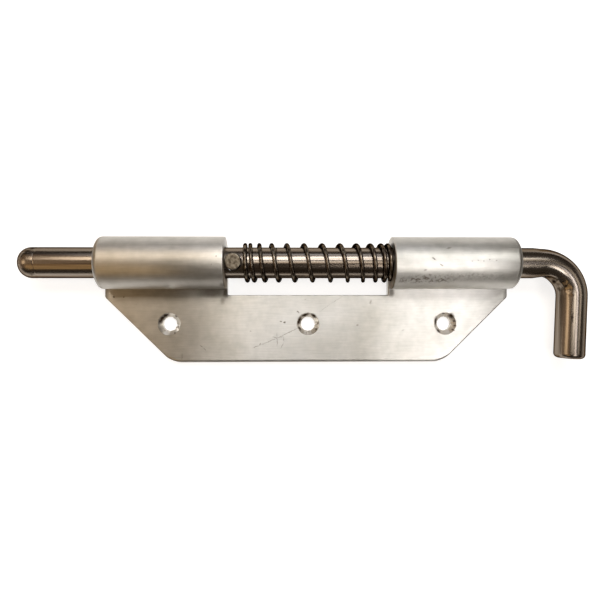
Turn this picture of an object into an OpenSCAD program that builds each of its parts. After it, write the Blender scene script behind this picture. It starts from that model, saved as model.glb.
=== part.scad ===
// Spring bolt latch: a bent round bolt that slides in the two rolled
// knuckles of a screwed-on steel leaf, thrown by a coil spring that
// pushes on a cross pin.
//
// The latch lies on its back. +X runs along the bolt towards the handle,
// +Y from the screws to the bolt, +Z out of the mounting surface. The
// origin is the middle screw hole at the back of the leaf.

/* [Leaf] */
// Length of the leaf, and over its two knuckles
leaf_l = 162; // [150:1:200]
// Thickness of the sheet that the leaf is cut and rolled from
sheet_t = 4; // [3:0.5:5]
// Length of each knuckle
knuckle_l = 48.7; // [35:0.1:52]
// From the bolt's axis down to the leaf's bottom edge
leaf_drop = 39.4; // [35:0.1:55]
// Plain strip between a knuckle and the window's lower edge
window_drop = 2.2; // [1:0.1:5]
// Plain side edge below a knuckle, above the clipped corner
side_drop = 3.1; // [3:0.1:8]
// Width cut away by each clipped corner
clip_w = 26.7; // [15:0.1:30]
// Radius in plan where a clipped corner meets the bottom edge
clip_r = 9; // [3:0.5:10]
// Rounding of the outer ends of the knuckles
knuckle_round = 1.8; // [0.5:0.1:2]
// Rounding of the sheet's other edges on the knuckles and their ears
edge_round = 0.4; // [0.2:0.1:0.8]

/* [Screw holes] */
// From the bolt's axis down to the line of screws
hole_drop = 24; // [22:0.5:30]
// Distance from one screw to the next
hole_pitch = 55.5; // [45:0.5:60]
// Diameter of a screw hole
hole_d = 5.6; // [4:0.1:6.5]
// Diameter of the countersink at the front of the leaf
sink_d = 9; // [7.5:0.1:11]
// Angle of the countersink
sink_angle = 90; // [82:1:100]

/* [Bolt] */
// Diameter of the bar
bolt_d = 12; // [11:0.1:13]
// How far the bolt stands out past the knuckle, which is also its travel
tip_reach = 30.5; // [20:0.1:32]
// Rounding of the tip, which leaves a small flat at its end
tip_round = 5; // [0.5:0.1:5.2]
// From the other knuckle to the middle of the handle
handle_reach = 23.8; // [20:0.1:40]
// Radius of the bend, at the middle of the bar
bend_r = 12.8; // [10:0.1:16]
// Angle that the bar is bent through
bend_angle = 92.76; // [85:0.01:100]
// From the bolt's axis down to the end of the handle
handle_drop = 37.6; // [30:0.1:60]
// Rounding of the handle's end
handle_round = 0.6; // [0.2:0.1:2]

/* [Stop pin] */
// Diameter of the cross pin
pin_d = 6.4; // [4:0.1:7]
// How far the pin stands out of the bar at each end
pin_proud = 1.9; // [1.8:0.1:3]
// Rounding of the pin's peened ends
pin_round = 0.8; // [0.2:0.1:1.2]

/* [Spring] */
// Diameter of the spring's wire
wire_d = 1.6; // [1.2:0.1:1.7]
// Turns from one end of the wire to the other
spring_turns = 11.6; // [9:0.1:11.8]
// Where the wire starts, as an angle round the bolt from its top
spring_start = -54; // [-180:1:180]
// Pitch of the end turns as a share of the middle turns'
end_pitch = 0.15; // [0.14:0.01:0.6]
// Place of the widest turns: 1 is the middle, more is nearer the handle
pitch_skew = 1.05; // [0.8:0.05:1.2]

/* [Fits] */
// Space between the bolt and a knuckle, on each side
bolt_clearance = 0.2; // [0.1:0.05:0.4]
// Space between the bolt and the spring, on each side
spring_clearance = 0.15; // [0.1:0.05:0.5]
// Space left between pieces that bear on each other
seat_gap = 0.1; // [0.05:0.05:0.3]
// Gap at the seam, between a rolled end and the front of the leaf
seam_gap = 0.15; // [0.1:0.05:0.5]
// Tightness of the pin in the bar, on each side
pin_press = 0.01; // [0:0.005:0.02]

/* [Hidden] */
$fn = 96;
eps = 1;

// Knuckles and the bolt's axis
bolt_r = bolt_d / 2;
bore_r = bolt_r + bolt_clearance;
knuckle_r = bore_r + sheet_t;
axis_y = hole_drop;
axis_z = knuckle_r;
curl_angle = 360 - acos((knuckle_r - sheet_t - seam_gap) / knuckle_r);

// Leaf outline
end_x = leaf_l / 2;
window_x = end_x - knuckle_l;
bottom_y = axis_y - leaf_drop;
window_y = axis_y - knuckle_r - window_drop;
clip_y = axis_y - knuckle_r - side_drop;
clip_x = end_x - clip_w;
clip_top_r = 1.5;

// Bolt
tip_x = -end_x - tip_reach;
handle_x = end_x + handle_reach;
// The bend starts where its far tangent comes out at the handle's axis
bend_x = handle_x - bend_r * tan(bend_angle / 2);
bend_y = axis_y - bend_r;
handle_lean = bend_angle - 90;
bend_spare = 5;
handle_l = (handle_drop - bend_r * (1 + sin(handle_lean))) / cos(handle_lean);

// Stop pin, held by the spring against the knuckle at the tip's end
pin_r = pin_d / 2;
pin_x = -window_x + seat_gap + pin_r;
pin_l = bolt_d + 2 * pin_proud;

// Spring, between the stop pin and the other knuckle
coil_r = bolt_r + spring_clearance + wire_d / 2;
spring_x0 = pin_x + pin_r + seat_gap + wire_d / 2;
spring_x1 = window_x - seat_gap - wire_d / 2;
rings_per_turn = 20;
wire_sides = 10;
rings = round(spring_turns * rings_per_turn);

// Directions and rounded corners of an outline

function unit(v) = v / norm(v);

function toward(p, i, step) = unit(p[(i + step + len(p)) % len(p)] - p[i]);

function half_angle(p, i) = acos(toward(p, i, -1) * toward(p, i, 1)) / 2;

function cut_corner(p, r, i) =
    r[i] == 0 ? [p[i]] : [
        p[i] + toward(p, i, -1) * r[i] / tan(half_angle(p, i)),
        p[i] + toward(p, i, 1) * r[i] / tan(half_angle(p, i))
    ];

function corner_centre(p, r, i) =
    p[i] + unit(toward(p, i, -1) + toward(p, i, 1)) * r[i] / sin(half_angle(p, i));

// A convex outline whose corners i have the radii r[i], 0 for a sharp one
module rounded_outline(p, r) {
    polygon([for (i = [0:len(p) - 1]) each cut_corner(p, r, i)]);
    for (i = [0:len(p) - 1])
        if (r[i] > 0)
            translate(corner_centre(p, r, i)) circle(r[i]);
}

// Leaf

// The plate below the ears: clipped at both bottom corners
module leaf_plate() {
    outline = [
        [-end_x, window_y], [-end_x, clip_y], [-clip_x, bottom_y],
        [clip_x, bottom_y], [end_x, clip_y], [end_x, window_y]
    ];
    linear_extrude(sheet_t)
        rounded_outline(outline, [0, clip_top_r, clip_r, clip_r, clip_top_r, 0]);
}

// The sheet cut across at a knuckle: x across the sheet from the bolt's axis
// outwards, y along the knuckle from the window to the leaf's end
module sheet_section() {
    p = [[bore_r, 0], [knuckle_r, 0], [knuckle_r, knuckle_l], [bore_r, knuckle_l]];
    rounded_outline(p, [edge_round, edge_round, knuckle_round, edge_round]);
}

// One ear and its knuckle: the section runs straight up the ear,
// then round the bolt's axis until it closes on the front of the leaf
module rolled_ear() {
    translate([window_x, axis_y, axis_z]) rotate([0, 90, 0]) {
        rotate_extrude(angle = curl_angle) sheet_section();
        rotate([90, 0, 0]) linear_extrude(axis_y - window_y) sheet_section();
    }
}

module screw_hole() {
    sink_depth = (sink_d - hole_d) / 2 / tan(sink_angle / 2);
    translate([0, 0, -eps]) cylinder(h = sheet_t + 2 * eps, d = hole_d);
    translate([0, 0, sheet_t - sink_depth])
        cylinder(
            h = sink_depth + eps,
            d1 = hole_d,
            d2 = sink_d + 2 * eps * tan(sink_angle / 2)
        );
}

module leaf() {
    color("silver")
    difference() {
        union() {
            leaf_plate();
            rolled_ear();
            mirror([1, 0, 0]) rolled_ear();
        }
        for (i = [-1:1]) translate([i * hole_pitch, 0, 0]) screw_hole();
    }
}

// Bolt

// A round bar along +Z whose far end has a rounded edge
module bar(l, r, end_round) {
    rotate_extrude() intersection() {
        square([r, l]);
        rounded_outline([[0, 0], [r, 0], [r, l], [0, l]], [0, 0, end_round, 0]);
    }
}

// The bend about its own centre: swept a little too far past the straight
// bar and cut back square, so that the two meet face to face
module bend() {
    difference() {
        rotate([0, 0, -handle_lean])
            rotate_extrude(angle = bend_angle + bend_spare)
                translate([bend_r, 0]) circle(bolt_r);
        translate([-bend_r, 0, -bend_r]) cube([bend_r, 3 * bend_r, 2 * bend_r]);
    }
}

module bolt() {
    color("gainsboro")
    difference() {
        union() {
            translate([bend_x, axis_y, axis_z])
                rotate([-90, 0, 90]) bar(bend_x - tip_x, bolt_r, tip_round);
            translate([bend_x, bend_y, axis_z]) {
                bend();
                rotate([0, 0, -handle_lean]) translate([bend_r, 0, 0])
                    rotate([90, 0, 0]) bar(handle_l, bolt_r, handle_round);
            }
        }
        translate([pin_x, axis_y, axis_z])
            cylinder(h = pin_l, r = pin_r - pin_press, center = true);
    }
}

// Stop pin: peened over a little at both ends
module stop_pin() {
    color("darkgray")
    translate([pin_x, axis_y, axis_z]) {
        bar(pin_l / 2, pin_r, pin_round);
        mirror([0, 0, 1]) bar(pin_l / 2, pin_r, pin_round);
    }
}

// Spring: a right-hand coil, close-wound at its ends

// Pitch at a share u of the wire, 1 at the widest
function pitch_at(u) = end_pitch + (1 - end_pitch) * sin(180 * pow(u, pitch_skew));

// Running sum of the pitches, one entry for each ring of the wire
function running(n, sum = 0, i = 0) =
    i > n ? [] : concat([sum], running(n, sum + pitch_at((i + 0.5) / n), i + 1));

module spring() {
    way = running(rings);
    step = 360 * spring_turns / rings;
    pitch_x = [for (w = way) spring_x0 + (spring_x1 - spring_x0) * w / way[rings]];
    // A ring of the wire stands across the coil, and leans with its pitch
    lean = [for (i = [0:rings])
        let (a = max(i - 1, 0), b = min(i + 1, rings))
        atan((pitch_x[b] - pitch_x[a]) / ((b - a) * step * PI / 180 * coil_r))];
    points = [for (i = [0:rings], k = [0:wire_sides - 1])
        let (
            turn = spring_start + i * step,
            side = 360 * k / wire_sides,
            out = coil_r + wire_d / 2 * cos(side),
            along = wire_d / 2 * sin(side)
        )
        [
            pitch_x[i] + along * cos(lean[i]),
            axis_y + out * cos(turn) + along * sin(lean[i]) * sin(turn),
            axis_z + out * sin(turn) - along * sin(lean[i]) * cos(turn)
        ]];
    walls = [for (i = [0:rings - 1], k = [0:wire_sides - 1])
        let (
            a = i * wire_sides + k,
            b = i * wire_sides + (k + 1) % wire_sides
        )
        each [[a, b, b + wire_sides], [a, b + wire_sides, a + wire_sides]]];
    first_end = [for (k = [wire_sides - 1:-1:0]) k];
    last_end = [for (k = [0:wire_sides - 1]) rings * wire_sides + k];
    color("dimgray") polyhedron(points, concat(walls, [first_end, last_end]));
}

leaf();
bolt();
stop_pin();
spring();
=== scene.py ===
# Spring bolt latch: a bent round bolt, thrown by a coil spring in a rolled steel leaf
import math

import bmesh
import bpy
from mathutils import Matrix, Vector, noise


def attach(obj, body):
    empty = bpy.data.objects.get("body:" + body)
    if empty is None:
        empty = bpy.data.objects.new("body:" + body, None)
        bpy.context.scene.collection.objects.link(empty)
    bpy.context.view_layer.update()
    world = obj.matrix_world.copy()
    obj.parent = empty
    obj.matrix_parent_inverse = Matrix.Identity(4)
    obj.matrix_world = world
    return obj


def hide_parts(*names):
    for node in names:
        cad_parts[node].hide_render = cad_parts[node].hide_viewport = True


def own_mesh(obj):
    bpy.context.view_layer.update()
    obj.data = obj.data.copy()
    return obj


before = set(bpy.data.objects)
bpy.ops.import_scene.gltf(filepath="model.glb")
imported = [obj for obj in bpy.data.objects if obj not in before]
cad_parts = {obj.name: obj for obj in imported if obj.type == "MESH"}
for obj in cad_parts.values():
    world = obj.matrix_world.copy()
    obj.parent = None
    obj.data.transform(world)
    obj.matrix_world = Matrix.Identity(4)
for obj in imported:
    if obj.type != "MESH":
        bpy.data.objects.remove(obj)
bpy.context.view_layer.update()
mm = 0.001
near = 0.01  # in mm: a point this close to a line or plane counts as on it
print("frame loaded")


# Small helpers

def linear(hexColour):  # an sRGB hex value as the linear colour that nodes take
    parts = [int(hexColour[i:i + 2], 16) / 255 for i in (1, 3, 5)]
    return tuple(p / 12.92 if p <= 0.04045 else ((p + 0.055) / 1.055) ** 2.4 for p in parts) + (1.0,)


def deselectAll():
    if bpy.context.mode != "OBJECT":
        bpy.ops.object.mode_set(mode="OBJECT")
    bpy.ops.object.select_all(action="DESELECT")


def startPiece(name):  # the primitive that was just added becomes a named piece, open in edit mode
    piece = bpy.context.active_object
    piece.name = name
    piece.data.name = name
    bpy.ops.object.transform_apply(location=True, rotation=True, scale=True)
    bpy.ops.object.mode_set(mode="EDIT")
    return piece


def middleOf(edge):
    return (edge.verts[0].co + edge.verts[1].co) / 2


# Selects the verts, edges or faces whose middle, in mm, and normal pass the test
def pick(piece, kind, test):
    bpy.ops.mesh.select_mode(type={"verts": "VERT", "edges": "EDGE", "faces": "FACE"}[kind])
    bpy.ops.mesh.select_all(action="DESELECT")
    mesh = bmesh.from_edit_mesh(piece.data)
    for part in getattr(mesh, kind):
        if kind == "verts":
            middle, normal = part.co, part.normal
        elif kind == "edges":
            middle, normal = middleOf(part), None
        else:
            middle, normal = part.calc_center_median(), part.normal
        if test(middle / mm, normal):
            part.select_set(True)
    mesh.select_flush_mode()
    bmesh.update_edit_mesh(piece.data)


def pull(x=0, y=0, z=0):
    bpy.ops.mesh.extrude_region_move(TRANSFORM_OT_translate={"value": (x * mm, y * mm, z * mm)})


def mergeDoubles():  # merges the points that lie on each other and turns every face outwards
    bpy.ops.mesh.select_all(action="SELECT")
    bpy.ops.mesh.remove_doubles(threshold=0.001 * mm)
    bpy.ops.mesh.normals_make_consistent(inside=False)


# Takes the cutter's shape out of the piece; the exact solver left a hole uncut now and then
def cutAway(piece, cutter):
    deselectAll()
    bpy.context.view_layer.objects.active = piece
    cut = piece.modifiers.new("hole", "BOOLEAN")
    cut.object = cutter
    cut.solver = "MANIFOLD"
    bpy.ops.object.modifier_apply(modifier=cut.name)
    piece.data.materials.clear()  # the solver leaves an empty slot
    bpy.data.objects.remove(cutter)


def smooth(piece, degrees):
    deselectAll()
    bpy.context.view_layer.objects.active = piece
    piece.select_set(True)
    bpy.ops.object.shade_smooth_by_angle(angle=math.radians(degrees))
    weighted = piece.modifiers.new("weighted", "WEIGHTED_NORMAL")
    weighted.keep_sharp = True
    bpy.ops.object.modifier_apply(modifier=weighted.name)
    piece.select_set(False)


# Camera: above the latch, a little left of its middle, as in the photograph
camera = {"place": (-9.325, 6.895, 220.342), "yaw": -1.609, "pitch": 0.714, "roll": -0.071, "lens": 32.296}
turn = (Matrix.Rotation(math.radians(camera["yaw"]), 4, "Y")
        @ Matrix.Rotation(math.radians(camera["pitch"]), 4, "X")
        @ Matrix.Rotation(math.radians(camera["roll"]), 4, "Z"))
bpy.ops.object.camera_add()
cameraObject = bpy.context.active_object
cameraObject.name = "camera"
cameraObject.matrix_world = Matrix.Translation(Vector(camera["place"]) * mm) @ turn
cameraObject.data.lens = camera["lens"]
cameraObject.data.sensor_width = 36
cameraObject.data.clip_start = 0.01
bpy.context.scene.camera = cameraObject
bpy.context.scene.view_settings.view_transform = "Standard"
print("camera set")


# Leaf: one sheet, cut, countersunk and rolled into a knuckle at each side of the window
leafSizes = {
    "length": 162, "sheet": 4, "knuckle": 48.7, "bottomY": -15.4, "windowY": 11.6,
    "clipX": 54.3, "clipY": 10.7, "clipRound": 3.67, "topRound": 0.63,  # how far a corner's rounding reaches
    "axisY": 24, "axisZ": 10.2, "bore": 6.2, "seamGap": 0.15,
    # How wide the tumbling has rounded each kind of edge
    "widest": 1.8, "frontEdge": 0.5, "bottomEdge": 1.1, "bottomReach": 2.6,
    "knuckleEnd": 1.8, "backEdge": 0.6, "windowEdge": 0.5, "seamEdge": 0.35,
    "endGrows": 70,  # the knuckle's outer end reaches its full rounding this many degrees into the roll
    "sharp": 30,  # edges that turn by more than this many degrees are rounded
    "holes": [  # place along the leaf, lobes that the countersink's chatter left, and the side it is worst on
        {"x": -55.5, "lobes": 9, "depth": 0.05, "worst": -35},
        {"x": 0, "lobes": 13, "depth": 0.04, "worst": -10},
        {"x": 55.5, "lobes": 15, "depth": 0.06, "worst": 10},
    ],
    "hole": 5.6, "sink": 9.0, "sinkAngle": 84,
    "calmSide": 0.35,  # the chatter on the opposite side, as a share of the worst
}


def distanceFromAxis(place, s):
    return math.hypot(place.y - s["axisY"], place.z - s["axisZ"])


def edgeWidth(place, s):  # how wide the tumbling has rounded an edge of the sheet at that place, in mm
    endX = s["length"] / 2
    windowX = endX - s["knuckle"]
    rolled = place.y > s["axisY"] - near or place.z > s["sheet"] + near
    atEnd = abs(abs(place.x) - endX) < near
    atWindow = abs(abs(place.x) - windowX) < near
    if atWindow or abs(place.y - s["windowY"]) < near:
        return s["windowEdge"]
    if rolled and not atEnd:
        return s["seamEdge"]
    if rolled and distanceFromAxis(place, s) > s["bore"] + near:
        # The knuckle's outer end is rounder, which begins little by little where the roll begins
        rollAngle = math.degrees(math.atan2(place.y - s["axisY"], s["axisZ"] - place.z)) % 360
        return s["backEdge"] + (s["knuckleEnd"] - s["backEdge"]) * min(1, rollAngle / s["endGrows"])
    if not rolled and place.z < near:
        return s["backEdge"]
    if rolled or place.z > s["sheet"] - near:
        nearBottom = max(0, 1 - (place.y - s["bottomY"]) / s["bottomReach"])
        return s["frontEdge"] + (s["bottomEdge"] - s["frontEdge"]) * nearBottom
    return 0


def roundEdges(piece, s):  # the bevel that tumbling leaves, wider on the front and the knuckles' outer ends
    bpy.ops.object.mode_set(mode="EDIT")
    mesh = bmesh.from_edit_mesh(piece.data)
    weight = mesh.edges.layers.float.new("bevel_weight_edge")
    for edge in mesh.edges:
        if len(edge.link_faces) == 2 and edge.calc_face_angle(0) > math.radians(s["sharp"]):
            edge[weight] = edgeWidth(middleOf(edge) / mm, s) / s["widest"]
    bmesh.update_edit_mesh(piece.data)
    bpy.ops.object.mode_set(mode="OBJECT")
    bevel = piece.modifiers.new("tumbledEdges", "BEVEL")
    bevel.limit_method = "WEIGHT"
    bevel.width = s["widest"] * mm
    bevel.segments = 4
    bevel.use_clamp_overlap = False
    bevel.loop_slide = False
    bpy.ops.object.modifier_apply(modifier=bevel.name)


def chatter(angle, hole, s):  # how far the cone's radius is off at that angle, as a share of it
    share = 0.5 + 0.5 * math.cos(angle - math.radians(hole["worst"]))
    strength = s["calmSide"] + (1 - s["calmSide"]) * share ** 2
    lobe = math.sin(angle * hole["lobes"]) + 0.5 * math.sin(angle * (hole["lobes"] + 4) + 1)
    return hole["depth"] * strength * lobe


def cutHole(leaf, hole, s):  # drilled and countersunk by hand, so the cone has chatter lobes round it
    slope = math.tan(math.radians(s["sinkAngle"] / 2))
    sinkDepth = (s["sink"] - s["hole"]) / 2 / slope
    past = 1  # the cutter goes on past both faces of the sheet, as a real countersink does
    bottom, top = -past, s["sheet"] - sinkDepth
    deselectAll()
    bpy.ops.mesh.primitive_cylinder_add(
        vertices=120, radius=s["hole"] / 2 * mm, depth=(top - bottom) * mm,
        location=(hole["x"] * mm, 0, (top + bottom) / 2 * mm))
    cutter = startPiece("cutter")
    pick(cutter, "faces", lambda place, normal: normal.z > 0.9)
    pull(z=sinkDepth + past)
    wider = (s["sink"] + 2 * past * slope) / s["hole"]
    bpy.ops.transform.resize(value=(wider, wider, 1))
    mesh = bmesh.from_edit_mesh(cutter.data)
    for vert in mesh.verts:
        if vert.co.z > (top - near) * mm:
            out = Vector((vert.co.x - hole["x"] * mm, vert.co.y))
            # The foot of the cone waves the other way, and twice as far as its top
            way = 0.5 if vert.co.z > s["sheet"] * mm else -1
            grow = 1 + chatter(math.atan2(out.y, out.x), hole, s) * way
            vert.co.x = hole["x"] * mm + out.x * grow
            vert.co.y = out.y * grow
    bmesh.update_edit_mesh(cutter.data)
    # The chatter leaves the cutter's quads twisted, so they are split
    bpy.ops.mesh.select_all(action="SELECT")
    bpy.ops.mesh.quads_convert_to_tris()
    cutAway(leaf, cutter)


def buildLeaf(s):
    endX = s["length"] / 2
    windowX = endX - s["knuckle"]
    knuckleRadius = s["bore"] + s["sheet"]
    deselectAll()
    middleY = (s["bottomY"] + s["axisY"]) / 2
    bpy.ops.mesh.primitive_plane_add(size=1, location=(0, middleY * mm, 0))
    bpy.context.active_object.scale = (s["length"] * mm, (s["axisY"] - s["bottomY"]) * mm, 1)
    leaf = startPiece("rolledLeaf")
    # Mark out the window and cut off the two bottom corners
    cuts = [((windowX, 0), (1, 0), False), ((-windowX, 0), (1, 0), False), ((0, s["windowY"]), (0, 1), False)]
    for side in (-1, 1):
        outward = Vector((side * (s["clipY"] - s["bottomY"]), s["clipX"] - endX)).normalized()
        cuts.append(((side * endX, s["clipY"]), outward, True))
    for (x, y), normal, away in cuts:
        bpy.ops.mesh.select_all(action="SELECT")
        bpy.ops.mesh.bisect(plane_co=(x * mm, y * mm, 0), plane_no=(*normal, 0), clear_outer=away)
    pick(leaf, "faces", lambda place, normal: abs(place.x) < windowX and place.y > s["windowY"])
    bpy.ops.mesh.delete(type="FACE")
    for x, y, reach in ((s["clipX"], s["bottomY"], s["clipRound"]), (endX, s["clipY"], s["topRound"])):
        pick(leaf, "verts", lambda place, normal: abs(abs(place.x) - x) < near and abs(place.y - y) < near)
        bpy.ops.mesh.bevel(offset=reach * mm, segments=8, affect="VERTICES")
    # Give the sheet its thickness, then roll both ears round the bolt's axis
    bpy.ops.mesh.select_all(action="SELECT")
    pull(z=s["sheet"])
    bpy.ops.mesh.select_all(action="SELECT")
    bpy.ops.mesh.normals_make_consistent(inside=False)
    pick(leaf, "faces", lambda place, normal: abs(place.y - s["axisY"]) < near and normal.y > 0.9)
    curl = 360 - math.degrees(math.acos((s["axisZ"] - s["sheet"] - s["seamGap"]) / knuckleRadius))
    bpy.ops.mesh.spin(
        steps=76, angle=math.radians(curl), axis=(-1, 0, 0), center=(0, s["axisY"] * mm, s["axisZ"] * mm))
    mergeDoubles()
    bpy.ops.object.mode_set(mode="OBJECT")
    roundEdges(leaf, s)
    for hole in s["holes"]:
        cutHole(leaf, hole, s)
    smooth(leaf, 32)
    return leaf


leaf = buildLeaf(leafSizes)
print("leaf", len(leaf.data.polygons))


# Bolt: a drawn bar, rounded at its tip and bent cold into its own handle
boltSizes = {
    "radius": 6, "axisY": 24, "axisZ": 10.2, "tipX": -111.5, "tipRound": 5,
    "score": -104.0, "scoreDeep": 0.09,  # where the edge of the keeper has scored a ring round the bar
    "scoreReach": 0.45, "scoreFloor": 0.1,  # half the ring's width, at the surface and at its bottom
    "rows": (-90, -60, -30, 0, 30, 60, 80),  # rows of points along the straight bar
    "bendX": 91.368, "bendY": 11.2, "bendAngle": 92.76,
    "squeeze": 0.945, "easing": 3,  # the bar gets thinner over the last few mm before the bend
    "handle": 24.21, "handleRows": (3, 8), "handleRound": 1.8,
    "endTilt": 0.05,  # more than the squeeze tilts the handle's end
    "pinX": -29, "pinHole": 3.38,
    "jawMarks": [  # place, reach and depth
        (94.4, 17.5, 10.4, 3.8, 0.8), (95.6, 17.2, 12.7, 2.2, 0.35), (97.6, 14.6, 12.2, 2.4, 0.45),
        (98.6, 16.2, 14.7, 1.6, 0.16), (100.3, 13.6, 15.2, 1.9, 0.22), (101.0, 10.5, 15.5, 1.6, 0.12),
        (101.4, 3.4, 15.7, 1.3, 0.09),
    ],
}


def bendPress(place, s):  # how deep the bending jaws have marked the bar inside the bend, in mm
    deep = 0
    for x, y, z, reach, depth in s["jawMarks"]:
        away = (Vector((x, y, z)) - place).length / reach
        if away < 1:
            deep += depth * (1 - away * away) ** 2
    return deep


def alongBar(place, s):  # the same place on the bar before it was bent: along it, and across it both ways
    lean = math.radians(s["bendAngle"] - 90)
    out = Vector((place.x - s["bendX"], place.y - s["bendY"]))
    bendRadius = s["axisY"] - s["bendY"]
    bendLength = bendRadius * math.radians(s["bendAngle"])
    height = place.z - s["axisZ"]
    if out.x < 0 and out.y > 0:
        return Vector((out.x, out.y - bendRadius, height))
    angle = math.atan2(out.x, out.y)
    if 0 <= angle <= math.radians(s["bendAngle"]):
        return Vector((bendRadius * angle, out.length - bendRadius, height))
    down = -out.x * math.sin(lean) - out.y * math.cos(lean)
    side = out.x * math.cos(lean) - out.y * math.sin(lean)
    return Vector((bendLength + down, side - bendRadius, height))


def buildBolt(s):
    deselectAll()
    bpy.ops.mesh.primitive_circle_add(
        vertices=112, radius=s["radius"] * mm, rotation=(0, math.pi / 2, 0),
        location=(s["tipX"] * mm, s["axisY"] * mm, s["axisZ"] * mm))
    bolt = startPiece("bentBolt")
    bpy.ops.mesh.select_all(action="SELECT")
    bpy.ops.mesh.edge_face_add()
    # Draw the bar out from its tip, with the scored ring
    ring = 1 - s["scoreDeep"] / s["radius"]
    stations = [(s["score"] - s["scoreReach"], 1), (s["score"] - s["scoreFloor"], ring),
                (s["score"] + s["scoreFloor"], 1), (s["score"] + s["scoreReach"], 1 / ring)]
    stations += [(x, 1) for x in (*s["rows"], s["bendX"] - s["easing"])]
    x = s["tipX"]
    for place, grow in stations:
        pull(x=place - x)
        x = place
        if grow != 1:
            bpy.ops.transform.resize(value=(1, grow, grow))
    # The bar is squeezed a little thinner across the bend and the handle
    pull(x=s["easing"])
    bpy.ops.transform.resize(value=(1, s["squeeze"], 1))
    bpy.ops.mesh.spin(
        steps=56, angle=math.radians(s["bendAngle"]), axis=(0, 0, 1),
        center=(s["bendX"] * mm, s["bendY"] * mm, s["axisZ"] * mm))
    lean = math.radians(s["bendAngle"] - 90)
    down = Vector((-math.sin(lean), -math.cos(lean), 0))
    outward = Vector((math.cos(lean), -math.sin(lean), 0))
    for length in (*s["handleRows"], s["handle"] - sum(s["handleRows"])):
        pull(*(down * length))
    mergeDoubles()
    # Round the tip and the handle's end
    pick(bolt, "edges", lambda place, normal: abs(place.x - s["tipX"]) < near)
    bpy.ops.mesh.bevel(offset=s["tipRound"] * mm, segments=12)
    end = (Vector((s["bendX"], s["bendY"], s["axisZ"])) + down * s["handle"]
           + outward * (s["axisY"] - s["bendY"]))
    pick(bolt, "edges", lambda place, normal: abs((place - end).dot(down)) < s["endTilt"])
    bpy.ops.mesh.bevel(offset=s["handleRound"] * mm, segments=7)
    # Press in the marks of the bending jaws
    mesh = bmesh.from_edit_mesh(bolt.data)
    for vert in mesh.verts:
        vert.co -= vert.normal * bendPress(vert.co / mm, s) * mm
    bmesh.update_edit_mesh(bolt.data)
    # The cross hole that the pin sits in
    bpy.ops.object.mode_set(mode="OBJECT")
    bpy.ops.mesh.primitive_cylinder_add(
        vertices=72, radius=s["pinHole"] * mm, depth=20 * mm,
        location=(s["pinX"] * mm, s["axisY"] * mm, s["axisZ"] * mm))
    cutter = bpy.context.active_object
    bpy.ops.object.transform_apply(location=True, rotation=True, scale=True)
    cutAway(bolt, cutter)
    smooth(bolt, 40)
    straight = bolt.data.attributes.new("straightBar", "FLOAT_VECTOR", "POINT")
    for vert, value in zip(bolt.data.vertices, straight.data):
        value.vector = alongBar(vert.co / mm, s) * mm
    return bolt


bolt = buildBolt(boltSizes)
print("bolt", len(bolt.data.polygons))


# Stop pin: a short pin, hammered over at both ends
pinSizes = {
    "radius": 3.2, "length": 15.8, "round": 0.42,
    "insets": ((0.45, 0), (0.5, 0.03), (0.7, -0.04), (0.75, -0.02)),  # the peened face rises, then dips
    "dents": 0.055, "dentDepth": 0.5, "spread": 0.02,  # how far the hammer has pushed the face in and out
}


def buildPin(s, b):
    deselectAll()
    bpy.ops.mesh.primitive_cylinder_add(
        vertices=56, radius=s["radius"] * mm, depth=s["length"] * mm,
        location=(b["pinX"] * mm, b["axisY"] * mm, b["axisZ"] * mm))
    pin = startPiece("peenedPin")
    half = s["length"] / 2
    for side in (-1, 1):
        pick(pin, "faces", lambda place, normal: normal.z * side > 0.9)
        for step, rise in s["insets"]:
            bpy.ops.mesh.inset(thickness=step * mm, depth=rise * mm)
        pick(pin, "edges", lambda place, normal: abs(place.z - b["axisZ"] - side * half) < near
             and math.hypot(place.x - b["pinX"], place.y - b["axisY"]) > s["radius"] - near)
        bpy.ops.mesh.bevel(offset=s["round"] * mm, segments=4)
    # Hammer dents: the face's own points are pushed about
    mesh = bmesh.from_edit_mesh(pin.data)
    for vert in mesh.verts:
        if abs(vert.co.z / mm - b["axisZ"]) > half - s["dentDepth"]:
            vert.co.z += noise.noise(vert.co / mm * 1.1 + Vector((7, 3, 1))) * s["dents"] * mm
            shift = noise.noise(vert.co / mm * 0.45 + Vector((2, 5, 8))) * s["spread"]
            vert.co.x += (vert.co.x - b["pinX"] * mm) * shift
            vert.co.y += (vert.co.y - b["axisY"] * mm) * shift
    bmesh.update_edit_mesh(pin.data)
    bpy.ops.object.mode_set(mode="OBJECT")
    smooth(pin, 50)
    return pin


pin = buildPin(pinSizes, boltSizes)
print("pin", len(pin.data.polygons))


# Spring: round wire, close-wound at both ends
springSizes = {
    "wire": 1.6, "middle": 6.95, "turns": 11.6, "start": -54, "fromX": -24.9, "toX": 31.4,
    "endPitch": 0.15,  # the pitch at the ends, as a share of the widest
    "skew": 1.05,  # over 1, the widest pitch lies past the middle
    "stepsPerTurn": 36, "sides": 14,
}


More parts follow.
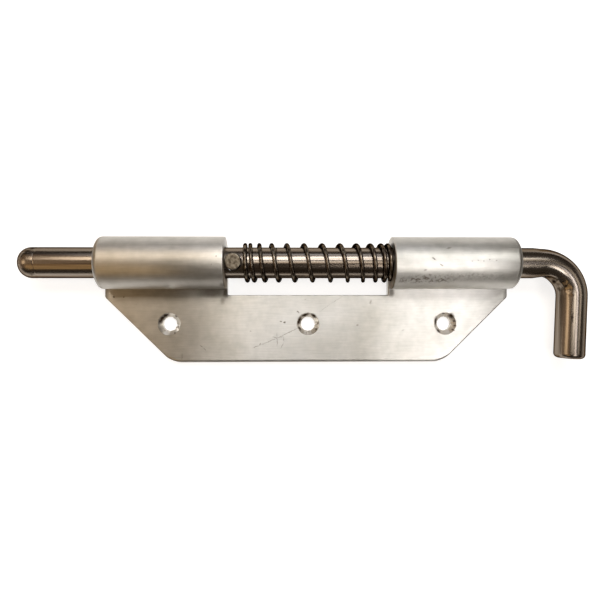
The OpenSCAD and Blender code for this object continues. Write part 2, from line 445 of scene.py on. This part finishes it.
def buildSpring(s, b):
    steps = round(s["turns"] * s["stepsPerTurn"])
    pitches = [s["endPitch"] + (1 - s["endPitch"]) * math.sin(math.pi * ((i + 0.5) / steps) ** s["skew"])
               for i in range(steps)]
    perPitch = (s["toX"] - s["fromX"]) / sum(pitches)
    turn = math.radians(360 * s["turns"] / steps)
    start = math.radians(s["start"])
    axis = Vector((0, b["axisY"], b["axisZ"]))
    place = Vector((
        s["fromX"], b["axisY"] + s["middle"] * math.cos(start), b["axisZ"] + s["middle"] * math.sin(start)))
    deselectAll()
    bpy.ops.mesh.primitive_circle_add(
        vertices=s["sides"], radius=s["wire"] / 2 * mm, fill_type="NGON",
        location=place * mm, rotation=(start, 0, 0))
    spring = startPiece("coilSpring")
    bpy.ops.mesh.select_all(action="SELECT")
    for pitch in pitches:
        bpy.ops.mesh.extrude_region_move()
        bpy.ops.transform.rotate(
            value=-turn, orient_axis="X", orient_type="GLOBAL", center_override=axis * mm)
        bpy.ops.transform.translate(value=(pitch * perPitch * mm, 0, 0))
    mergeDoubles()
    bpy.ops.object.mode_set(mode="OBJECT")
    smooth(spring, 50)
    return spring


spring = buildSpring(springSizes, boltSizes)
print("spring", len(spring.data.polygons))


# Materials: one small function adds a node, with its settings, its inputs and a ramp's stops
def add(tree, kind, inputs=None, stops=None, **settings):
    node = tree.nodes.new("ShaderNode" + kind)
    for name, value in settings.items():
        setattr(node, name, value)
    for name, value in (inputs or {}).items():
        if isinstance(value, bpy.types.Node):
            value = next(socket for socket in value.outputs if socket.enabled)
        if isinstance(value, bpy.types.NodeSocket):
            tree.links.new(value, node.inputs[name])
        else:
            node.inputs[name].default_value = value
    if stops:
        ramp = node.color_ramp
        while len(ramp.elements) < len(stops):
            ramp.elements.new(0.5)
        for element, (place, value) in zip(ramp.elements, stops):
            element.position = place
            element.color = (value, value, value, 1)
    return node


def startMaterial(name):
    material = bpy.data.materials.new(name)
    material.use_nodes = True
    shader = material.node_tree.nodes["Principled BSDF"]
    shader.inputs["Metallic"].default_value = 1
    return material, material.node_tree, shader


def plug(tree, node, shader, name):  # a node's first live output into one of the shader's sockets
    tree.links.new(next(socket for socket in node.outputs if socket.enabled), shader.inputs[name])


mostNoise = {"From Min": 0.3, "From Max": 0.7}  # nearly all of a noise texture's values lie between these

# Wear and painted shade, placed one by one: each mark is a small stretched blob round a point, in mm
markShape = {"ragged": 0.9, "raggedPerMetre": 1400, "halfHeight": 2, "core": 0.35}


def wearAndShadePlaces(tree, place, marks, s=markShape):
    shake = add(tree, "TexNoise", {"Vector": place, "Scale": s["raggedPerMetre"], "Detail": 2})
    away = add(tree, "VectorMath", {0: shake.outputs["Color"], 1: (0.5, 0.5, 0.5)}, operation="SUBTRACT")
    shift = add(tree, "VectorMath", {0: away, "Scale": s["ragged"] * mm}, operation="SCALE")
    shaken = add(tree, "VectorMath", {0: place, 1: shift}, operation="ADD")
    wearAndShade = None
    for x, y, z, angle, length, width, strength in marks:
        local = add(tree, "Mapping", {
            "Vector": shaken, "Location": (x * mm, y * mm, z * mm), "Rotation": (0, 0, math.radians(angle)),
            "Scale": (length / 2 * mm, width / 2 * mm, s["halfHeight"] * mm)}, vector_type="TEXTURE")
        reach = add(tree, "VectorMath", {0: local}, operation="LENGTH").outputs["Value"]
        mark = add(tree, "MapRange", {
            "Value": reach, "From Min": 1, "From Max": s["core"], "To Max": strength})
        wearAndShade = add(tree, "Math", {0: wearAndShade, 1: mark}, operation="MAXIMUM") if wearAndShade else mark
    return wearAndShade


def scratch(points, width, strength):  # through some points, as one long thin mark for each stretch
    overlap = 1.15
    marks = []
    for (x0, y0), (x1, y1) in zip(points, points[1:]):
        length = math.hypot(x1 - x0, y1 - y0) * overlap
        angle = math.degrees(math.atan2(y1 - y0, x1 - x0))
        marks.append(((x0 + x1) / 2, (y0 + y1) / 2, angle, length, width, strength))
    return marks


# Stainless sheet, tumbled after rolling: a soft, cloudy shine, spread across the fine lines that run along it
leafLook = {
    # the sawn colour is painted shade on the knuckles' window ends, and the worn colour serves wear and
    # painted shade alike
    "colour": "#c0bdb7", "cloud": "#b1ada5", "wearAndShade": "#4a3d31", "sawnAndShaded": "#877a69", "turned": "#e2ded7",
    "roughness": {"To Min": 0.28, "To Max": 0.32}, "turnedRoughness": 0.28, "anisotropic": 0.95,
    "sawnRougher": 0.25, "wornRougher": 0.25, "endRougher": 0.3,
    "cloudsPerMetre": 65, "blotchesPerMetre": 270, "spotsPerMetre": 950, "linesPerMetre": (150, 2600, 2600),
    "lineTone": {"To Min": 0.93, "To Max": 1.04}, "blotchTone": {"To Min": 0.9, "To Max": 1.06},
}
faceMarks = [  # pits on the front: x, y, turn, length, width and strength
    (-77.4, 10.85, 0, 1.1, 1.0, 0.85), (-73.4, 10.85, 0, 0.9, 0.9, 0.6), (-4.1, 4.8, -40, 1.5, 0.8, 0.7),
    (-10.9, 1.0, -20, 1.2, 0.8, 0.8), (-9.4, 0.6, -10, 1.4, 0.9, 0.9), (-23.2, -2.9, 10, 1.0, 0.7, 0.45),
    (19.9, -0.5, 0, 1.3, 0.9, 0.45), (25.3, 8.8, 80, 2.4, 1.2, 0.4), (-19.3, -8.1, 60, 1.6, 0.7, 0.55),
    (38.4, -2.6, 30, 1.6, 0.7, 0.3), (-50.4, -13, 90, 3.4, 0.5, 0.4), (-1.2, 9.8, 0, 1.4, 0.5, 0.3),
]
faceMarks += [  # painted shadow of the knuckles, in brown, on the sheet where it meets the window under them
    (-38.5, 12.6, 0, 15, 4.8, 0.5), (-33.0, 12.6, 80, 5.0, 3.6, 0.75), (-34.2, 9.4, 80, 4.0, 2.4, 0.3),
    (33.8, 12.6, 90, 4.6, 3.0, 0.6),
]
faceMarks += scratch([(-3.3, -1.3), (-12.5, -5.7), (-19.3, -8.5), (-22.4, -9.6)], 0.42, 0.55)
faceMarks += scratch([(4.6, 4.8), (9.2, 8.2), (14.0, 11.0)], 0.34, 0.3)
faceMarks += scratch([(-43.3, -8.3), (-42.0, -9.4), (-40.8, -10.7)], 0.5, 0.5)
faceMarks += scratch([(-12.5, -3.2), (-12.4, -9.6)], 0.4, 0.5)
faceMarks += scratch([(-14.6, -5.2), (-12.4, -5.6), (-9.9, -5.0), (-9.6, -7.4), (-11.2, -10.0)], 0.42, 0.45)
lipReflectionsAndNicks = [  # painted dark reflections in the countersinks' cones, and nicks where their lips are torn: as above
    (-58.5, 1.9, 58, 5.6, 2.8, 1), (-57.0, 3.5, 25, 4.2, 2.2, 1), (-52.7, 3.2, -40, 1.6, 1.0, 0.8),
    (-51.9, -0.9, 80, 1.1, 0.9, 0.8), (-53.3, -3.5, 30, 1.3, 0.9, 0.8), (-3.5, 1.3, 68, 5.4, 2.1, 1),
    (-1.2, 3.6, 18, 4.8, 2.0, 1), (2.3, 3.3, -36, 3.4, 1.7, 1), (-3.4, -1.8, 118, 2.8, 1.2, 0.85),
    (3.9, 0.2, 80, 1.0, 0.9, 0.8), (3.3, -2.2, 55, 1.2, 1.0, 0.85), (51.8, 0.9, 88, 5.6, 1.9, 1),
    (52.9, -2.9, 130, 2.8, 1.4, 0.9), (58.2, 3.2, -40, 3.4, 2.6, 1), (59.5, 1.0, 0, 1.5, 1.0, 0.9),
    (59.6, -0.9, 0, 1.5, 1.0, 0.9), (58.9, -2.6, -30, 1.6, 1.1, 0.9), (55.0, 4.1, 0, 1.6, 0.9, 0.8),
]
knuckleMarks = [  # nicks and pits on the knuckles: x, y, z, turn, length, width and strength
    (-34.8, 25.7, 20.3, 0, 0.8, 0.8, 0.7), (-36.6, 22.6, 20.3, 0, 0.5, 0.5, 0.4),
    (46.6, 24.8, 20.4, -40, 2.4, 0.7, 0.8), (49.3, 22.6, 20.3, -30, 2.6, 0.6, 0.5),
    (52.6, 29, 19.1, 10, 3.0, 0.9, 0.5), (61.0, 24.0, 20.4, 30, 1.0, 0.5, 0.5),
    (63.3, 24.3, 20.4, -30, 0.9, 0.5, 0.5), (65.4, 24.0, 20.4, 60, 0.9, 0.5, 0.5),
    (67.6, 24.5, 20.4, 0, 1.0, 0.5, 0.45), (70.2, 24.2, 20.4, 45, 0.8, 0.5, 0.4),
    (43.4, 20.6, 19.8, 20, 1.6, 0.8, 0.5), (45.4, 18.8, 19.0, -20, 1.8, 1.0, 0.55),
    (48.6, 16.8, 17.4, 10, 2.6, 1.3, 0.6), (42.0, 17.2, 17.8, -50, 1.8, 0.7, 0.4),
    (-33.2, 14.6, 15.6, 0, 2.4, 4.4, 0.45),  # painted shade, in brown, on the left knuckle's sawn end
]
leafMarks = [(x, y, leafSizes["sheet"], *rest) for x, y, *rest in faceMarks]
leafMarks += [(x, y, leafSizes["sheet"] - 0.7, *rest) for x, y, *rest in lipReflectionsAndNicks]
leafMarks += knuckleMarks
scuffed = [(43.5, 17.4, 17.6, 0, 34, 7.5, 1), (60, 18.2, 18.4, 0, 40, 5, 0.45)]  # zones with scattered spots


def satinSteel(look, marks, scuffed, s):
    material, tree, shader = startMaterial("satinStainless")
    place = add(tree, "TexCoord").outputs["Object"]
    # Clouds about 15 mm wide, left by the tumbling
    clouds = add(tree, "TexNoise", {"Vector": place, "Scale": look["cloudsPerMetre"], "Detail": 5})
    share = add(tree, "ValToRGB", {"Fac": clouds}, [(0.35, 0), (0.7, 1)])
    clear = add(tree, "Mix", {
        0: share, 6: linear(look["colour"]), 7: linear(look["cloud"])}, data_type="RGBA")
    # Rolling lines about 0.4 mm apart and 7 mm long; the real ones are finer
    along = add(tree, "Mapping", {"Vector": place, "Scale": look["linesPerMetre"]})
    grain = add(tree, "TexNoise", {"Vector": along, "Scale": 1, "Detail": 3})
    lineTone = add(tree, "MapRange", {"Value": grain, **mostNoise, **look["lineTone"]})
    lined = add(tree, "VectorMath", {0: clear, "Scale": lineTone}, operation="SCALE")
    # Blotches about 3 mm wide
    blotches = add(tree, "TexNoise", {"Vector": place, "Scale": look["blotchesPerMetre"], "Detail": 5})
    blotchTone = add(tree, "MapRange", {"Value": blotches, **mostNoise, **look["blotchTone"]})
    blotched = add(tree, "VectorMath", {0: lined, "Scale": blotchTone}, operation="SCALE")
    # The right knuckle is scuffed on its lower side, in spots about 1 mm wide
    spots = add(tree, "TexNoise", {"Vector": place, "Scale": look["spotsPerMetre"], "Detail": 4})
    spotShare = add(tree, "ValToRGB", {"Fac": spots}, [(0.45, 0), (0.62, 0.9)])
    scuffs = add(tree, "Math", {0: wearAndShadePlaces(tree, place, scuffed), 1: spotShare}, operation="MULTIPLY")
    # the marks hold real pits and scratches, painted shadow under the knuckles and painted dark reflections
    # in the countersinks
    wearAndShade = add(tree, "Math", {0: wearAndShadePlaces(tree, place, marks), 1: scuffs}, operation="MAXIMUM")
    # The knuckles' ends beside the window are as the saw left them, and their lower side gets painted shade
    # in brown
    endX = s["length"] / 2
    windowX = endX - s["knuckle"]
    x, y, z = add(tree, "SeparateXYZ", {"Vector": place}).outputs
    fromMiddle = add(tree, "Math", {0: x}, operation="ABSOLUTE")
    inWindow = add(tree, "MapRange", {
        "Value": fromMiddle, "From Min": (windowX + 0.45) * mm, "From Max": (windowX + 0.15) * mm})
    raised = add(tree, "MapRange", {
        "Value": z, "From Min": (s["sheet"] + 0.2) * mm, "From Max": (s["sheet"] + 0.6) * mm})
    # painted shade: the sawn colour only reaches the lower side of the ends, towards the sheet
    shadedLowerSide = add(tree, "MapRange", {
        "Value": y, "From Min": (s["axisY"] + 3) * mm, "From Max": (s["axisY"] - 5) * mm})
    ends = add(tree, "Math", {0: inWindow, 1: raised}, operation="MULTIPLY")
    sawnAndShaded = add(tree, "Math", {0: ends, 1: shadedLowerSide}, operation="MULTIPLY")
    # The countersinks are turned, so they are brighter and shinier: round the nearest hole, below the face
    halfSpacing = s["holes"][-1]["x"] / 2 * mm
    across = add(tree, "Math", {0: x, 1: halfSpacing, 2: -halfSpacing}, operation="WRAP")
    flat = add(tree, "CombineXYZ", {"X": across, "Y": y})
    fromHole = add(tree, "VectorMath", {0: flat}, operation="LENGTH").outputs["Value"]
    nearHole = add(tree, "MapRange", {
        "Value": fromHole, "From Min": (s["sink"] / 2 + 0.2) * mm, "From Max": s["sink"] / 2 * mm})
    below = add(tree, "MapRange", {
        "Value": z, "From Min": (s["sheet"] - 0.01) * mm, "From Max": (s["sheet"] - 0.1) * mm})
    aboveBack = add(tree, "MapRange", {"Value": z, "From Min": 0.8 * mm, "From Max": mm, "To Max": nearHole})
    turned = add(tree, "Math", {0: aboveBack, 1: below}, operation="MULTIPLY")
    cut = add(tree, "Mix", {0: turned, 6: blotched, 7: linear(look["turned"])}, data_type="RGBA")
    bare = add(tree, "Mix", {0: sawnAndShaded, 6: cut, 7: linear(look["sawnAndShaded"])}, data_type="RGBA")
    colour = add(tree, "Mix", {0: wearAndShade, 6: bare, 7: linear(look["wearAndShade"])}, data_type="RGBA")
    plug(tree, colour, shader, "Base Color")
    # Sawn, worn and rounded places are duller, the countersinks shinier
    rough = add(tree, "MapRange", {"Value": grain, **mostNoise, **look["roughness"]})
    sawnRough = add(tree, "Math", {0: sawnAndShaded, 1: look["sawnRougher"], 2: rough}, operation="MULTIPLY_ADD")
    outerEnd = add(tree, "MapRange", {
        "Value": fromMiddle, "From Min": (endX - 2.2) * mm, "From Max": (endX - 0.8) * mm,
        "To Max": look["endRougher"]})
    endRough = add(tree, "Math", {0: sawnRough, 1: outerEnd}, operation="ADD")
    cutRough = add(tree, "Mix", {0: turned, 2: endRough, 3: look["turnedRoughness"]})
    rougher = add(tree, "Math", {0: wearAndShade, 1: look["wornRougher"], 2: cutRough}, operation="MULTIPLY_ADD")
    plug(tree, rougher, shader, "Roughness")
    fine = add(tree, "Bump", {"Height": grain, "Strength": 0.08, "Distance": 0.03 * mm})
    plug(tree, fine, shader, "Normal")
    shader.inputs["Anisotropic"].default_value = look["anisotropic"]
    plug(tree, add(tree, "Tangent", direction_type="RADIAL", axis="X"), shader, "Tangent")
    return material


# Drawn stainless bar, rubbed bright in the knuckles: tighter reflections, a brown cast, lines along the bar
boltLook = {
    "colour": "#9d948a", "stain": "#645646", "wearAndShade": "#1d1610",
    "shadedEdge": "#4a4038",  # painted shade: the bar's reflection is dulled brown where it is seen edge on
    "roughness": {"To Min": 0.18, "To Max": 0.26}, "wornRougher": 0.2,
    "linesPerMetre": (24, 1900, 1900), "bandsPerMetre": (14, 520, 520), "bandShare": 0.55,
    "scored": 0.7, "scoredFrom": 0.5, "scoredTo": 0.1,  # how dark the scored ring is, and how wide in mm
}
boltMarks = [  # x, y, z, turn, length, width and strength of each dark mark: creases and stains in the bend
    (96.0, 16.0, 11.4, 50, 6.0, 2.8, 1), (95.6, 17.4, 13.4, 40, 3.4, 1.6, 1),
    (97.2, 14.6, 12.4, 60, 3.6, 1.8, 1), (98.5, 16.4, 14.9, 40, 2.6, 1.3, 0.9),
    (99.6, 14.8, 15.0, 60, 3.0, 1.2, 0.9), (101.0, 13.2, 15.5, 70, 2.2, 0.8, 0.6),
    (97.6, 17.8, 13.4, 30, 5.0, 1.6, 0.95), (100.4, 16.0, 15.4, 50, 3.4, 0.9, 0.7),
    (96.6, 11.0, 12.4, 85, 5.0, 1.0, 0.6),
]
boltMarks += [  # the streak down the handle, the rubbed places at the tip, and the shadow round the pin
    (101.4, 2.4, 15.7, 88, 5.4, 1.1, 0.85), (101.2, 5.6, 15.7, 85, 2.0, 0.8, 0.5),
    (98.4, -7.6, 14.8, 70, 1.6, 0.8, 0.5), (-106.4, 28.0, 14.6, 0, 3.4, 1.5, 0.7),
    (-105.2, 29.0, 13.2, 0, 2.4, 1.6, 0.6), (-106.9, 21.2, 15.2, 0, 4.4, 0.8, 0.45),
    (-105.3, 19.3, 13.4, 0, 3.0, 1.0, 0.5), (-29, 24, 16, 0, 11.5, 10.5, 0.85),
]


def polishedSteel(look, marks, s):
    material, tree, shader = startMaterial("drawnStainless")
    place = add(tree, "Attribute", attribute_name="straightBar").outputs["Vector"]
    # Drawing lines about 0.5 mm apart, in bands about 2 mm wide
    along = add(tree, "Mapping", {"Vector": place, "Scale": look["linesPerMetre"]})
    lines = add(tree, "TexNoise", {"Vector": along, "Scale": 1, "Detail": 4})
    wide = add(tree, "Mapping", {"Vector": place, "Scale": look["bandsPerMetre"]})
    bands = add(tree, "TexNoise", {"Vector": wide, "Scale": 1, "Detail": 2})
    lineShare = add(tree, "Math", {0: lines, 1: 1 - look["bandShare"]}, operation="MULTIPLY")
    both = add(tree, "Math", {0: bands, 1: look["bandShare"], 2: lineShare}, operation="MULTIPLY_ADD")
    share = add(tree, "ValToRGB", {"Fac": both}, [(0.38, 0), (0.66, 1)])
    clear = add(tree, "Mix", {
        0: share, 6: linear(look["colour"]), 7: linear(look["stain"])}, data_type="RGBA")
    # The ring that the keeper has scored near the tip, and the dark marks, among them a painted shadow round
    # the pin
    x = add(tree, "SeparateXYZ", {"Vector": place}).outputs["X"]
    fromRing = add(tree, "Math", {0: add(tree, "Math", {0: x, 1: -s["score"] * mm})}, operation="ABSOLUTE")
    ring = add(tree, "MapRange", {
        "Value": fromRing, "From Min": look["scoredFrom"] * mm, "From Max": look["scoredTo"] * mm,
        "To Max": look["scored"]})
    stainsAndShade = wearAndShadePlaces(tree, add(tree, "TexCoord").outputs["Object"], marks)
    wearAndShade = add(tree, "Math", {0: ring, 1: stainsAndShade}, operation="MAXIMUM")
    colour = add(tree, "Mix", {0: wearAndShade, 6: clear, 7: linear(look["wearAndShade"])}, data_type="RGBA")
    plug(tree, colour, shader, "Base Color")
    rough = add(tree, "MapRange", {"Value": lines, **mostNoise, **look["roughness"]})
    rougher = add(tree, "Math", {0: wearAndShade, 1: look["wornRougher"], 2: rough}, operation="MULTIPLY_ADD")
    plug(tree, rougher, shader, "Roughness")
    bump = add(tree, "Bump", {"Height": lines, "Strength": 0.12, "Distance": 0.03 * mm})
    plug(tree, bump, shader, "Normal")
    # Painted shade: a dark tint on the reflection where the bar is seen edge on
    shader.inputs["Specular Tint"].default_value = linear(look["shadedEdge"])
    return material


# Hammered steel pin: dull, dented and mottled, in spots about 1 mm wide
pinLook = {
    "colour": "#726a5d", "dark": "#41382e", "roughness": 0.36,
    "patchesPerMetre": 900, "detail": 5, "dented": 0.3, "dentDepth": 0.08,
}

# Drawn spring wire: dark and oiled, with a soft shine, and painted shade that dulls its reflection where the
# wire is seen edge on
wireLook = {
    "colour": "#6f665a", "dark": "#3d342b", "shadedEdge": "#3a3029", "roughness": 0.26,
    "patchesPerMetre": 700, "detail": 4,
}


def mottledSteel(name, look):  # two tones in patches, over an even roughness
    material, tree, shader = startMaterial(name)
    place = add(tree, "TexCoord").outputs["Object"]
    patches = add(tree, "TexNoise", {
        "Vector": place, "Scale": look["patchesPerMetre"], "Detail": look["detail"]})
    share = add(tree, "ValToRGB", {"Fac": patches}, [(0.4, 0), (0.65, 1)])
    colour = add(tree, "Mix", {
        0: share, 6: linear(look["colour"]), 7: linear(look["dark"])}, data_type="RGBA")
    plug(tree, colour, shader, "Base Color")
    shader.inputs["Roughness"].default_value = look["roughness"]
    if "dented" in look:
        bump = add(tree, "Bump", {
            "Height": patches, "Strength": look["dented"], "Distance": look["dentDepth"] * mm})
        plug(tree, bump, shader, "Normal")
    # painted shade: a dark tint on the reflection where the piece is seen edge on
    if "shadedEdge" in look:
        shader.inputs["Specular Tint"].default_value = linear(look["shadedEdge"])
    return material


for piece, material, slotName, node, body in (
        (leaf, satinSteel(leafLook, leafMarks, scuffed, leafSizes), "satin_steel", "leaf", "leaf"),
        (bolt, polishedSteel(boltLook, boltMarks, boltSizes), "polished_steel", "bolt", "bolt"),
        (pin, mottledSteel("peenedSteel", pinLook), "peened_steel", "stop_pin", "bolt"),
        (spring, mottledSteel("oiledSpringWire", wireLook), "spring_wire", "spring", "spring")):
    piece.data.materials.append(material)
    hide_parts(node)
    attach(piece, body)
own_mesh(spring)
print("materials and bodies set")


# Floor: white paper, which shows white to the camera and in the metal and still takes the object's shadow
floorLook = {"colour": "#bfbdba", "glow": 0.76, "size": 4, "below": 0.3}
deselectAll()
bpy.ops.mesh.primitive_plane_add(size=floorLook["size"], location=(0, 0, -floorLook["below"] * mm))
floor = bpy.context.active_object
floor.name = "floor"
bpy.ops.object.transform_apply(location=True, rotation=True, scale=True)
paper = bpy.data.materials.new("whitePaper")
paper.use_nodes = True
tree = paper.node_tree
tree.nodes.clear()
path = add(tree, "LightPath").outputs
shine = add(tree, "Math", {0: path["Is Glossy Ray"], 1: path["Is Transmission Ray"]}, operation="MAXIMUM")
seen = add(tree, "Math", {0: path["Is Camera Ray"], 1: shine}, operation="MAXIMUM")
strength = add(tree, "Math", {0: seen, 1: floorLook["glow"]}, operation="MULTIPLY")
glow = add(tree, "Emission", {"Color": (1, 1, 1, 1), "Strength": strength})
matte = add(tree, "BsdfDiffuse", {"Color": linear(floorLook["colour"])})
both = add(tree, "AddShader", {0: glow, 1: matte})
# From below, the floor is clear, so that the back can be seen
behind = add(tree, "NewGeometry").outputs["Backfacing"]
sided = add(tree, "MixShader", {0: behind, 1: both, 2: add(tree, "BsdfTransparent")})
add(tree, "OutputMaterial", {"Surface": sided})
floor.data.materials.append(paper)

# World: a dim room with warm walls
room = {"colour": "#ffe7ce", "strength": 0.06}
world = bpy.data.worlds.new("studio")
bpy.context.scene.world = world
world.use_nodes = True
background = world.node_tree.nodes["Background"]
background.inputs["Color"].default_value = linear(room["colour"])
background.inputs["Strength"].default_value = room["strength"]

# Soft lamps, all equally far away and aimed at the latch: how far each leans to the back and to the right in
# degrees, its width and depth in metres, its power in watts and its colour
lampDistance = 0.6
lamps = {
    "mainLeft": {"lean": (28, -18), "size": (0.26, 0.18), "power": 0.56, "colour": "#fff0dc"},
    "mainMiddle": {"lean": (32, 1), "size": (0.21, 0.22), "power": 1.1, "colour": "#fafbff"},
    "mainRight": {"lean": (28, 22), "size": (0.19, 0.17), "power": 0.52, "colour": "#fcfdfb"},
    "overhead": {"lean": (4, 1.5), "size": (0.29, 0.12), "power": 0.35, "colour": "#fffaf2"},
    "overheadRight": {"lean": (-2, 21.5), "size": (0.12, 0.10), "power": 0.21, "colour": "#faf9ff"},
    "frontRight": {"lean": (-22, 20.5), "size": (0.18, 0.15), "power": 0.47, "colour": "#fefbf8"},
    "frontLeft": {"lean": (-33, -28), "size": (0.24, 0.32), "power": 0.15, "colour": "#ffd392"},
    "backFill": {"lean": (56, -2), "size": (0.55, 0.20), "power": 0.36, "colour": "#ecf1fd"},
    "leftFill": {"lean": (5, -51), "size": (0.24, 0.18), "power": 0.24, "colour": "#ffe6c4"},
    "rightFill": {"lean": (6, 45), "size": (0.12, 0.18), "power": 0.12, "colour": "#fff9ef"},
    "leftWall": {"lean": (12, -45), "size": (0.5, 0.9), "power": 0.36, "colour": "#ffd3a0"},
    "leftWindow": {"lean": (-3, -80), "size": (0.22, 0.5), "power": 0.2, "colour": "#ffe6cc"},
    "rightWindow": {"lean": (0, 81), "size": (0.16, 0.45), "power": 0.12, "colour": "#fffdf8"},
}
for name, lamp in lamps.items():
    back, right = (math.radians(angle) for angle in lamp["lean"])
    way = Vector((math.sin(right), math.sin(back) * math.cos(right), math.cos(back) * math.cos(right)))
    bpy.ops.object.light_add(type="AREA", location=way * lampDistance)
    light = bpy.context.active_object
    light.name = name
    light.rotation_mode = "ZYX"
    light.rotation_euler = (-back, right, 0)
    light.data.shape = "RECTANGLE"
    light.data.size, light.data.size_y = lamp["size"]
    light.data.energy = lamp["power"]
    light.data.color = linear(lamp["colour"])[:3]
    light.visible_camera = False
print("stage set")
